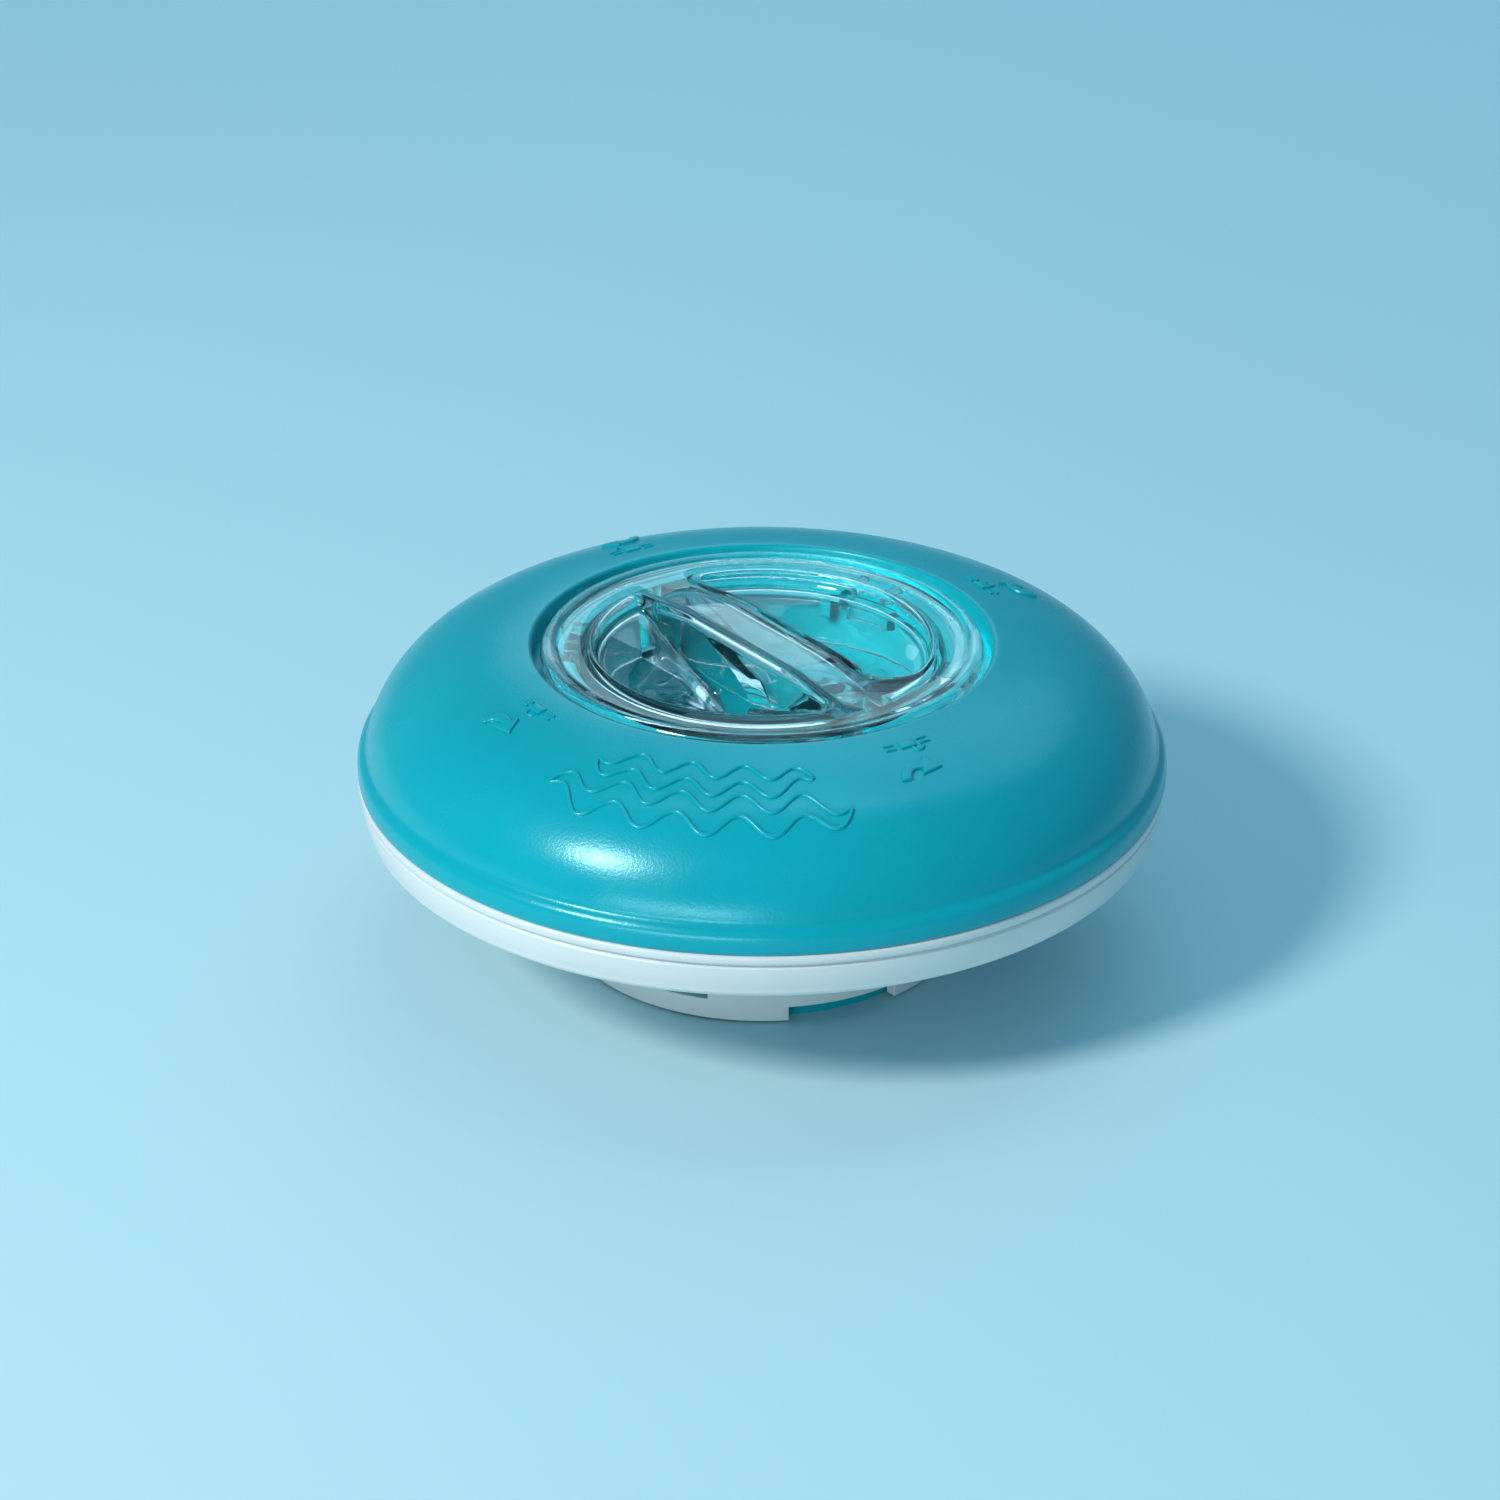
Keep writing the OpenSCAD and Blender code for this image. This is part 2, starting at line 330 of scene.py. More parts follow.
def clear_plastic(name, colour, ior, roughness, wave):
    """Clear moulded plastic or silicone, with waves wave mm deep, that lets lamps light what is under it."""
    material, tree, shader, place = new_material(name)
    faint = tuple(0.97 * c for c in colour)
    tint = mixed(tree, between(tree, noise(tree, place, 30), 0.0, 1.0), colour, faint)
    tree.links.new(tint, shader.inputs["Base Color"])
    shader.inputs["Transmission Weight"].default_value = 1.0
    shader.inputs["IOR"].default_value = ior
    shader.inputs["Coat Weight"].default_value = 0.5
    shader.inputs["Coat Roughness"].default_value = roughness
    rough = between(tree, noise(tree, place, 90, detail=5), roughness, 1.6 * roughness)
    tree.links.new(rough, shader.inputs["Roughness"])
    bumped(tree, shader, [(noise(tree, place, 120, detail=2), wave)])
    light = tree.nodes.new("ShaderNodeLightPath")
    through = tree.nodes.new("ShaderNodeBsdfTransparent")
    through.inputs["Color"].default_value = (0.93, 0.97, 0.97, 1)
    mix = tree.nodes.new("ShaderNodeMixShader")
    tree.links.new(light.outputs["Is Shadow Ray"], mix.inputs[0])
    tree.links.new(shader.outputs[0], mix.inputs[1])
    tree.links.new(through.outputs[0], mix.inputs[2])
    tree.links.new(mix.outputs[0], tree.nodes["Material Output"].inputs["Surface"])
    return material


def rubber(name, colour, pale):
    """Soft moulded rubber with a dusty bloom."""
    material, tree, shader, place = new_material(name)
    tint = mixed(tree, between(tree, noise(tree, place, 180, detail=5), 0.0, 1.0), colour, pale)
    tree.links.new(tint, shader.inputs["Base Color"])
    rough = between(tree, noise(tree, place, 400), 0.55, 0.75)
    tree.links.new(rough, shader.inputs["Roughness"])
    bumped(tree, shader, [(noise(tree, place, 1200), 0.02)])
    return material


def steel():
    """Plain stainless steel with fine turning marks."""
    material, tree, shader, place = new_material("screw_steel")
    tint = mixed(tree, noise(tree, place, 500, detail=5), (0.42, 0.43, 0.45), (0.62, 0.63, 0.65))
    tree.links.new(tint, shader.inputs["Base Color"])
    shader.inputs["Metallic"].default_value = 1.0
    rough = between(tree, noise(tree, place, 900, detail=4), 0.22, 0.42)
    tree.links.new(rough, shader.inputs["Roughness"])
    bumped(tree, shader, [(noise(tree, place, 2500), 0.01)])
    return material


TEAL = moulded_plastic(
    "teal_plastic", (0.0005, 0.298, 0.365), (0.001, 0.34, 0.41), 0.23, 0.04, sheen=(0.6, 0.95, 1.0)
)
WHITE = moulded_plastic("white_plastic", (0.60, 0.62, 0.62), (0.65, 0.67, 0.67), 0.36, 0.02)
CLEAR = clear_plastic("clear_plastic", (0.985, 1.0, 1.0), 1.4, 0.012, 0.05)
RUBBER = rubber("rubber", (0.012, 0.013, 0.015), (0.03, 0.032, 0.035))
SILICONE = clear_plastic("silicone", (0.80, 0.96, 0.98), 1.15, 0.2, 0.02)
STEEL = steel()


# ---- Top shell ----

CREASE_R = FLOAT_R - 2.0
CREASE_Z = SEAM_Z + 5.0
DOME_RISE = 25.0
DOME_FLAT = 5.5
DOME_ROUND = 1.62


def dome_height(r):
    """Height of the dome's outside at radius r."""
    return CREASE_Z + DOME_RISE * max(0.0, 1 - (r / CREASE_R) ** DOME_FLAT) ** (1 / DOME_ROUND)


def dome_normal(r):
    """The dome's outward direction at radius r, as (radial, upward)."""
    slope = (dome_height(r + 0.05) - dome_height(r - 0.05)) / 0.1
    length = math.hypot(slope, 1)
    return -slope / length, 1 / length


def dome_outline():
    """Closed outline of the top shell: dome, lip, tongue, inside, neck and pocket."""
    edge_round, steps = 0.9, 72
    edge_r = POCKET_R + edge_round
    edge = arc(edge_r, dome_height(edge_r) - edge_round, edge_round, 180, 95, 8)
    reach = CREASE_R - 0.25 - edge_r
    radii = [edge_r + reach * math.sin(math.pi / 2 * i / steps) for i in range(1, steps + 1)]
    dome = [(r, dome_height(r)) for r in radii]
    crease_z = dome[-1][1]
    lip = [
        (CREASE_R - 0.05, crease_z - 0.7),
        (CREASE_R + 0.25, crease_z - 1.15),
        (CREASE_R + 0.75, crease_z - 1.5),
        (CREASE_R + 1.3, crease_z - 1.95),
        (CREASE_R + 1.7, crease_z - 2.6),
        (CREASE_R + 1.92, crease_z - 3.4),
        (FLOAT_R, crease_z - 4.4),
        (FLOAT_R, SEAM_Z + 0.9),
        (FLOAT_R - 0.1, SEAM_Z + 0.45),
        (FLOAT_R - 0.35, SEAM_Z + 0.12),
        (FLOAT_R - 0.8, SEAM_Z + 0.02),
    ]
    tongue_r, tongue_w, tongue_h = HULL_INSIDE_R - 0.3, 2.0, 3.0
    tongue = [
        (tongue_r, SEAM_Z + 0.02),
        (tongue_r, SEAM_Z - tongue_h),
        (tongue_r - tongue_w, SEAM_Z - tongue_h),
        (tongue_r - tongue_w, CREASE_Z),
    ]
    inner = []
    for i in range(24, 2, -1):
        r = POCKET_R + (CREASE_R - POCKET_R) * math.sin(math.pi / 2 * i / 25)
        across, up = dome_normal(r)
        inner.append((r - WALL * across, dome_height(r) - WALL * up))
    wall_r = POCKET_R + WALL
    neck = [
        (wall_r, dome_height(wall_r) - WALL),
        (wall_r, POCKET_FLOOR_Z),
        (NECK_OUT_R, POCKET_FLOOR_Z),
        (NECK_OUT_R, LAND_TOP_Z),
        (NECK_R, LAND_TOP_Z),
        *arc(NECK_R + 0.5, POCKET_Z - 0.5, 0.5, 180, 90, 4),
        *arc(POCKET_R - 1.0, POCKET_Z + 1.0, 1.0, -90, 0, 5),
    ]
    return edge + dome + lip + tongue + inner + neck


def build_top_shell():
    bm = bmesh.new()
    revolve(bm, dome_outline(), FLOAT_STEPS)
    mesh_object("top_shell_skin", bm, TEAL, "float", ["top_shell"], sharp=40)


def build_bayonet():
    """The ledge that the lid's lugs turn under, with its stop tabs."""
    bm = bmesh.new()
    half_gap = LUG_SPAN / 2 + 2.5
    tab_r, tab_half = NECK_R - 3, 2.0
    for i in range(3):
        lug = LUG_AZ + 120 * i
        start = lug + half_gap
        stop = lug + 120 - LID_TURN - LUG_SPAN / 2 - 1.5 - tab_half

        def solid(r, z, az, stop=stop):
            return z > POCKET_FLOOR_Z or (abs(az - stop) < tab_half and r > tab_r)

        polar_cells(
            bm,
            [LEDGE_R, tab_r, NECK_R + 0.2],
            [LUG_Z - 1, POCKET_FLOOR_Z, POCKET_Z - 0.03],
            [start, stop - tab_half, stop + tab_half, start + 120 - 2 * half_gap],
            solid,
        )
    mesh_object("bayonet_ledge", bm, TEAL, "float", bevel=0.4)


# ---- Raised marks on the dome ----


def on_dome(az, r, s, t, height):
    """A point s mm along and t mm out from the spot at azimuth az and radius r, raised off the dome."""
    radius = r + t
    across, up = dome_normal(radius)
    a = az + math.degrees(s / r)
    return polar(radius + height * across, a, dome_height(radius) + height * up)


def raised_stroke(bm, az, r, points, width, height, closed=False):
    """A round-topped line along points given as (s, t)."""
    section = [(-1.0, -0.35), (-0.86, 0.3), (-0.55, 0.8), (0, 1.0), (0.55, 0.8), (0.86, 0.3), (1.0, -0.35)]
    count = len(points)
    rows = []
    for i, (s, t) in enumerate(points):
        before = points[(i - 1) % count] if closed or i else points[0]
        after = points[(i + 1) % count] if closed or i < count - 1 else points[-1]
        along = Vector((after[0] - before[0], after[1] - before[1])).normalized()
        side = Vector((-along.y, along.x)) * width / 2
        rows.append([
            bm.verts.new(on_dome(az, r, s + x * side.x, t + x * side.y, h * height))
            for x, h in section
        ])
    pairs = list(zip(rows, rows[1:]))
    if closed:
        pairs.append((rows[-1], rows[0]))
    for a, b in pairs:
        for i in range(len(section) - 1):
            bm.faces.new((a[i], a[i + 1], b[i + 1], b[i]))
    if not closed:
        bm.faces.new(rows[0])
        bm.faces.new(rows[-1][::-1])


def raised_plate(bm, az, r, outline, height):
    """A flat-topped raised shape with a rounded edge, from an outline of (s, t) points."""
    count = len(outline)
    rings = []
    for inset, h in ((-0.1, -0.25), (0.0, 0.6), (0.1, 0.9), (0.28, 1.0)):
        ring = []
        for i, p in enumerate(outline):
            a, b = Vector(outline[i - 1]), Vector(outline[(i + 1) % count])
            along = (b - a).normalized()
            spot = Vector(p) + Vector((-along.y, along.x)) * inset
            ring.append(bm.verts.new(on_dome(az, r, spot.x, spot.y, h * height)))
        rings.append(ring)
    join_rings(bm, rings)
    bmesh.ops.triangle_fill(bm, use_beauty=True, edges=ring_edges(bm, rings[-1]))


def resampled(points, step=0.5):
    """The closed outline with points no further apart than step."""
    out = []
    for a, b in zip(points, points[1:] + points[:1]):
        length = math.dist(a, b)
        count = max(1, math.ceil(length / step))
        for i in range(count):
            out.append((a[0] + (b[0] - a[0]) * i / count, a[1] + (b[1] - a[1]) * i / count))
    return out


def curved_arrow():
    """Outline of a thick arrow that bends a little over a quarter turn, counter-clockwise."""
    r_in, r_out, head = 2.6, 4.7, 1.6
    start, end = 185, 295
    middle = (r_in + r_out) / 2
    across, along = math.cos(math.radians(end)), math.sin(math.radians(end))
    wing_out = ((r_out + head) * across, (r_out + head) * along)
    tip = (middle * across + 3.6, middle * along + 1.7)
    wing_in = ((r_in - head) * across, (r_in - head) * along)
    outer = arc(0, 0, r_out, start, end, 12)
    inner = arc(0, 0, r_in, end, start, 10)
    return [(x, y + middle) for x, y in [*outer, wing_out, tip, wing_in, *inner]]


def padlock(bm, az, r, locked):
    """A small raised padlock with two short bars on each side. Its body is a plate, and its shackle is a
    bent stroke that stands to one side when it is open."""
    w, h, shackle_r = 3.6, 2.3, 1.1
    stroke_w, stroke_h = 0.6, 0.4
    shift = 0.0 if locked else 1.9
    body = [(-w / 2, -h), (w / 2, -h), (w / 2, 0), (-w / 2, 0)]
    raised_plate(bm, az, r, resampled(body, 0.6), 0.5)
    bend = [(x + shift, y + 0.5) for x, y in arc(0, 0, shackle_r, 180, 0, 10)]
    shackle = [(shift - shackle_r, 0.0), *bend, (shift + shackle_r, 0.0 if locked else 0.3)]
    raised_stroke(bm, az, r, shackle, stroke_w, stroke_h)
    for side in (-1, 1):
        for row in (-1.9, -0.4):
            bar = [(side * s, row) for s in (3.0, 4.2, 5.4)]
            raised_stroke(bm, az, r, bar, stroke_w, stroke_h)


def build_marks():
    """Four raised marks round the pocket, each a padlock and a curved arrow: locked and open by turns."""
    padlock_r, arrow_r = 59.6, 65.4
    bm = bmesh.new()
    for i, az in enumerate((30, 120, 214, 300)):
        padlock(bm, az + 1, padlock_r, locked=i % 2 == 0)
        raised_plate(bm, az - 1, arrow_r, resampled(curved_arrow(), 0.6), 0.6)
    mesh_object("direction_marks", bm, TEAL, "float", sharp=50)


def build_emblem():
    """A generic raised emblem on the front of the dome: two bands of rippling water in outline, one above
    the other and in step."""
    bm = bmesh.new()
    az, r, steps = -101.5, 68.6, 180
    half_width, swing, wavelength = 2.5, 2.1, 12.4
    for shift, length in ((4.6, 62.0), (-4.2, 49.6)):
        upper, lower = [], []
        for i in range(steps + 1):
            x = i / steps
            half = half_width * min(1.0, 7 * x, 7 * (1 - x)) ** 0.5
            s = (x - 0.5) * length
            wave = shift + swing * math.sin(2 * math.pi * s / wavelength)
            upper.append((s, wave + half))
            lower.append((s, wave - half))
        raised_stroke(bm, az, r, upper + lower[-2:0:-1], 1.0, 0.6, closed=True)
    mesh_object("wave_emblem", bm, TEAL, "float", sharp=50)


# ---- Bottom shell ----


def hull_outline():
    """Closed outline of the bottom shell: lip, groove, side band, bowl, land and inside."""
    z = SEAM_Z
    groove_in, groove_drop = 0.45, 3.25
    band_in, band_drop = 1.4, 8.8
    corner_w, corner_h = 4.2, 2.6

    def corner(inset, rise, angles):
        """The quarter turn from the side band into the bowl, moved in and up."""
        r, foot = FLOAT_R - band_in - inset, z - band_drop + rise
        turn = [math.radians(a) for a in angles]
        return [(r - corner_w * (1 - math.cos(a)), foot - corner_h * math.sin(a)) for a in turn]

    outside = [
        (FLOAT_R - 0.7, z - 0.03),
        (FLOAT_R - 0.28, z - 0.14),
        (FLOAT_R - 0.05, z - 0.45),
        (FLOAT_R, z - 0.9),
        (FLOAT_R - 0.02, z - 1.7),
        (FLOAT_R - 0.2, z - 2.1),
        (FLOAT_R - 0.6, z - 2.35),
        (FLOAT_R - 1.0, z - 2.5),
        (FLOAT_R - 1.05, z - 2.75),
        (FLOAT_R - 0.7, z - 2.95),
        (FLOAT_R - groove_in, z - groove_drop),
    ]
    band = []
    for i in range(1, 11):
        x = i / 10
        inset = groove_in + (band_in - groove_in) * x * x
        band.append((FLOAT_R - inset, z - groove_drop - (band_drop - groove_drop) * x))
    slope_r = FLANGE_R + 7
    under = [
        (slope_r + 3, HULL_BASE_Z + 0.62),
        (slope_r + 1, HULL_BASE_Z + 0.22),
        (slope_r - 1, HULL_BASE_Z),
        (FLANGE_R + 0.7, HULL_BASE_Z),
        (FLANGE_R + 0.3, HULL_BASE_Z + 0.4),
        (FLANGE_R + 0.3, LAND_Z),
        (BASKET_R + 0.5, LAND_Z),
        (BASKET_R + 0.5, LAND_TOP_Z),
        (NECK_OUT_R + 0.3, LAND_TOP_Z),
        (NECK_OUT_R + 0.3, LAND_Z + 8),
        (NECK_OUT_R + 2.0, LAND_Z + 8),
        (NECK_OUT_R + 2.0, LAND_Z + 11),
        (NECK_OUT_R + 2.7, LAND_Z + 11),
        (NECK_OUT_R + 2.7, LAND_TOP_Z),
        (FLANGE_R + 2.7, LAND_TOP_Z),
        (slope_r, HULL_BASE_Z + WALL + 0.3),
    ]
    rim = [
        (HULL_INSIDE_R, z - 4),
        (HULL_INSIDE_R, z - 0.03),
        (FLOAT_R - 3.0, z - 0.03),
        (FLOAT_R - 3.0, z - 1.6),
        (FLOAT_R - 1.2, z - 1.6),
        (FLOAT_R - 1.2, z - 0.03),
    ]
    turn, turn_inside = corner(0, 0, range(8, 85, 8)), corner(WALL, WALL, range(80, -1, -16))
    return outside + band + turn + under + turn_inside + rim


def build_bottom_shell():
    bm = bmesh.new()
    revolve(bm, hull_outline(), FLOAT_STEPS)
    mesh_object("bottom_shell_skin", bm, WHITE, "float", ["bottom_shell"], sharp=40)


# ---- Vented ring and basket ----


def vent_edges(*starts):
    """Azimuths of the edges of every vent, three for each start, rising once round from 0 to 360."""
    edges = {0.0, 360.0}
    for start in starts:
        for i in range(3):
            for side in (-1, 1):
                edges.add((start + 120 * i + side * VENT_SPAN / 2) % 360)
    return sorted(edges)


def in_vent(az, start):
    """True if azimuth az is in one of the three vents that begin with the one at start."""
    off = (az - start + 60) % 120 - 60
    return abs(off) < VENT_SPAN / 2


def build_flow_ring():
    """The ring, with three upper vents, three notches in its foot, and the bead inside that holds it up."""
    bm = bmesh.new()
    notch_top, vent_low, vent_high = 3.8, 5.3, 12.0
    bead_low, bead_high = 15.5, 17.1

    def solid(r, z, az):
        if r < RING_BORE_R:
            return bead_low < z < bead_high
        if vent_low < z < vent_high and in_vent(az, UPPER_VENT_AZ):
            return False
        return not (z < notch_top and in_vent(az, LOWER_VENT_AZ))

    polar_cells(
        bm,
        [BASKET_R - 0.4, RING_BORE_R, RING_R],
        [RING_Z, notch_top, vent_low, vent_high, bead_low, bead_high, RING_TOP_Z],
        vent_edges(UPPER_VENT_AZ, LOWER_VENT_AZ),
        solid,
    )
    mesh_object("flow_ring_skin", bm, WHITE, "ring", ["flow_ring"], bevel=0.35)


def drain_slots():
    """Outlines of the straight slots in the basket's floor."""
    reach = BASKET_R - BASKET_WALL - 4
    half, pitch = 1.7, 8
    loops = []
    for row in range(-4, 5):
        y = row * pitch
        end = math.sqrt(reach * reach - (abs(y) + half) ** 2) - half
        right = arc(end, y, half, -90, 90, 8)
        left = arc(-end, y, half, 90, 270, 8)
        loops.append(right + left)
    return loops


def build_basket():
    """The basket's wall, with its flange, vents and groove for the ring's bead, and its slotted floor."""
    bm = bmesh.new()
    inner_r, groove_r = BASKET_R - BASKET_WALL, BASKET_R - 0.9
    notch_top, vent_low, vent_high = 3.4, 5.8, 12.0
    groove_low, groove_high = 15.0, 17.6
    lower, upper = LOWER_VENT_AZ + RING_TURN, UPPER_VENT_AZ + RING_TURN

    def solid(r, z, az):
        if r < inner_r and z > BASKET_FLOOR_Z:
            return False
        if r > BASKET_R:
            return HULL_BASE_Z < z < LAND_Z
        if vent_low < z < vent_high and in_vent(az, upper):
            return False
        if z < notch_top and in_vent(az, lower):
            return False
        return not (groove_low < z < groove_high and r > groove_r)

    polar_cells(
        bm,
        [inner_r - 0.6, inner_r, groove_r, BASKET_R, FLANGE_R],
        [0.0, notch_top, BASKET_FLOOR_Z, BASKET_FLOOR_TOP_Z, vent_low, vent_high, groove_low, groove_high,
         HULL_BASE_Z, LAND_Z, LAND_Z + 4],
        vent_edges(lower, upper),
        solid,
    )
    mesh_object("tablet_basket_wall", bm, TEAL, "float", ["tablet_basket"], bevel=0.3)
    bm = bmesh.new()
    rim = arc(0, 0, inner_r + 0.05, 0, 360, 180)[:-1]
    plate(bm, rim, drain_slots(), BASKET_FLOOR_Z, BASKET_FLOOR_TOP_Z)
    mesh_object("tablet_basket_floor", bm, TEAL, "float", bevel=0.3)


# ---- Screws ----


def cross_outline(reach, half):
    """A plus sign, counter-clockwise."""
    quarter = [(half, -half), (reach, -half), (reach, half)]
    points = []
    for i in range(4):
        c, s = round(math.cos(i * math.pi / 2)), round(math.sin(i * math.pi / 2))
        points += [(x * c - y * s, x * s + y * c) for x, y in quarter]
    return points


def build_screws():
    """Pan-head screws that point up, each with a cross recess in its head."""
    shank_r, shank_len, point_len = 1.5, 6.6, 0.4
    head_r, edge_r = 2.9, 0.9
    cross_reach, cross_half, cross_depth = 1.7, 0.35, 1.0
    sides = 24
    head_z = HULL_BASE_Z - 2 * edge_r
    profile = [
        (shank_r, HULL_BASE_Z + shank_len),
        (shank_r, HULL_BASE_Z),
        (head_r, HULL_BASE_Z),
        (head_r, HULL_BASE_Z - edge_r),
        *arc(head_r - edge_r, HULL_BASE_Z - edge_r, edge_r, 0, -90, 6)[1:],
    ]
    cross = cross_outline(cross_reach, cross_half)
    bm = bmesh.new()
    for i in range(SCREWS):
        centre = polar(SCREW_CIRCLE_R, 30 + i * 360 / SCREWS, 0)
        turn = Matrix.Translation(centre) @ Matrix.Rotation(math.radians(30 + 47 * i), 4, "Z")
        before = set(bm.verts)
        rings = [[bm.verts.new(polar(r, 360 * k / sides, z)) for k in range(sides)] for r, z in profile]
        join_rings(bm, rings)
        tip = bm.verts.new((0, 0, HULL_BASE_Z + shank_len + point_len))
        for k in range(sides):
            bm.faces.new((rings[0][k], rings[0][(k + 1) % sides], tip))
        mouth = [bm.verts.new((x, y, head_z)) for x, y in cross]
        deep = [bm.verts.new((x * 0.8, y * 0.8, head_z + cross_depth)) for x, y in cross]
        fill(bm, rings[-1], mouth)
        join_rings(bm, [mouth, deep])
        fill(bm, deep)
        bmesh.ops.transform(bm, matrix=turn, verts=[v for v in bm.verts if v not in before])
    mesh_object("basket_screws_skin", bm, STEEL, "float", ["basket_screws"], sharp=35)


# ---- Seals ----


def build_seal(name, node, width, body, material):
    """A moulded ring, width mm wide, with round edges and the outside radius and height of its CAD node."""
    lo, hi = box_mm(node)
    r_out, r_in = hi.x, hi.x - width
    edge = 0.3 * min(hi.z - lo.z, r_out - r_in)
    outline = (
        arc(r_out - edge, hi.z - edge, edge, 0, 90, 4)
        + arc(r_in + edge, hi.z - edge, edge, 90, 180, 4)
        + arc(r_in + edge, lo.z + edge, edge, 180, 270, 4)
        + arc(r_out - edge, lo.z + edge, edge, 270, 360, 4)
    )
    bm = bmesh.new()
    revolve(bm, outline)
    mesh_object(name, bm, material, body, [node])


# ---- Clear lid ----


# (radius, depth below the flange) of each finger recess, which scoops down from the rim to the bar's foot
SCOOP = [
    (36.9, 1.8), (36.4, 2.8), (34.5, 3.5), (31.0, 4.6), (26.0, 6.6), (20.0, 9.2), (15.0, 11.8), (11.5, 14.6),
    (10.2, 15.8),
]
# The same for the hollow under it, from its inner foot out to the skirt
UNDER_SCOOP = [
    (12.6, 16.9), (13.4, 15.8), (16.3, 13.7), (21.0, 11.25), (26.9, 8.7), (31.8, 6.65), (35.0, 5.5),
]
RECESS_TOP, RECESS_FLOOR = SCOOP[0][1], SCOOP[-1][1]
# (inset, height above the flange) of the raised bead round each recess
RECESS_BEAD = [
    (-1.5, 0.0), (-1.25, 0.14), (-0.95, 0.36), (-0.6, 0.5), (-0.25, 0.48), (0.05, 0.3), (0.26, 0.0),
    (0.38, -0.5), (0.44, -1.1),
]
STRAIGHT_STEPS = 60  # steps along a recess's straight edge, beside the bar
CRESCENT_STEPS = 60  # steps along each arc of a crescent
LID_SPIN = Matrix.Rotation(math.radians(BAR_AZ), 4, "Z")


def lid_vert(bm, u, v, z):
    """A vertex at u along the bar, v across it and height z."""
    return bm.verts.new(LID_SPIN @ Vector((u, v, z)))


def scoop_radius(depth):
    """Radius of the scoop at a depth, on straight lines between the points above."""
    for (r0, d0), (r1, d1) in zip(SCOOP, SCOOP[1:]):
        if depth <= d1:
            return r0 + (r1 - r0) * max(0.0, (depth - d0) / (d1 - d0))
    return SCOOP[-1][0]


def recess_outline(side, v0, r, far, near):
    """A D-shaped outline beside the bar, in the bar's own axes: u along the bar, v across it. It starts on
    the straight edge, v0 out, at its near (negative u) end. r is the arc's radius, far and near are the
    corners' radii, and side is 1 or -1."""
    far = min(far, 0.42 * (r - v0))
    near = min(near, 0.42 * (r - v0))
    far_u = math.sqrt((r - far) ** 2 - (v0 + far) ** 2)
    near_u = -math.sqrt((r - near) ** 2 - (v0 + near) ** 2)
    far_az = math.degrees(math.atan2(v0 + far, far_u))
    near_az = math.degrees(math.atan2(v0 + near, near_u))
    points = [(near_u + (far_u - near_u) * i / STRAIGHT_STEPS, v0) for i in range(STRAIGHT_STEPS)]
    points += arc(far_u, v0 + far, far, -90, far_az, 10)[:-1]
    points += arc(0, 0, r, far_az, near_az, 90)[:-1]
    points += arc(near_u, v0 + near, near, near_az, 270, 10)[:-1]
    return [(u, side * v) for u, v in points]


def bar_lift(u):
    """How far the edges of the bar's top stand above the flange at u along the bar."""
    return (BAR_TOP_Z - FLANGE_TOP_Z - BAR_CROWN) * smoothstep((35 - abs(u)) / 19)


def crescent(side, grow, r_in):
    """Outline of the space under a scoop: between the skirt and radius r_in, beside the bar."""
    v0 = BAR_W / 2 + 0.1 - grow
    r_out = RECESS_R + grow
    r_in = max(r_in - grow, v0 + 0.6)
    turn_out = math.degrees(math.asin(v0 / r_out))
    turn_in = math.degrees(math.asin(v0 / r_in))
    outer = arc(0, 0, r_out, turn_out, 180 - turn_out, CRESCENT_STEPS)
    inner = arc(0, 0, r_in, 180 - turn_in, turn_in, CRESCENT_STEPS)
    return [(u, side * v) for u, v in outer + inner]


def add_recess(bm, side, far, near):
    """A finger recess with the bead round it. Returns its top ring, which begins with the straight edge."""
    steps = 26
    depths = [RECESS_TOP + (RECESS_FLOOR - RECESS_TOP) * (i / steps) for i in range(steps + 1)]
    levels = [(BAR_W / 2 + inset, RECESS_R - inset, rise) for inset, rise in RECESS_BEAD]
    levels += [(BAR_W / 2 + 0.5 + 0.04 * depth, scoop_radius(depth), -depth) for depth in depths]
    rings = []
    for v0, r, rise in levels:
        share = max(0.0, 1 + min(rise, 0) / RECESS_FLOOR)
        ring = []
        for i, (u, v) in enumerate(recess_outline(side, v0, r, far, near)):
            lift = bar_lift(u) * share if i <= STRAIGHT_STEPS else 0.0
            ring.append(lid_vert(bm, u, v, FLANGE_TOP_Z + rise + lift))
        rings.append(ring)
    join_rings(bm, rings)
    fill(bm, rings[-1])
    return rings[0]


def add_bar_top(bm, left, right):
    """The bar's crowned top, between the straight edges of the two recesses. Returns its rows."""
    across = 8
    middle = STRAIGHT_STEPS / 2
    rows = []
    for i in range(STRAIGHT_STEPS + 1):
        a, b = left[i], right[i]
        row = [a]
        for k in range(1, across):
            x = k / across
            crown = BAR_CROWN * 4 * x * (1 - x) * smoothstep((middle - abs(i - middle)) / 12)
            row.append(bm.verts.new(a.co.lerp(b.co, x) + Vector((0, 0, crown))))
        row.append(b)
        rows.append(row)
    for a, b in zip(rows, rows[1:]):
        for k in range(across):
            bm.faces.new((a[k], a[k + 1], b[k + 1], b[k]))
    return rows


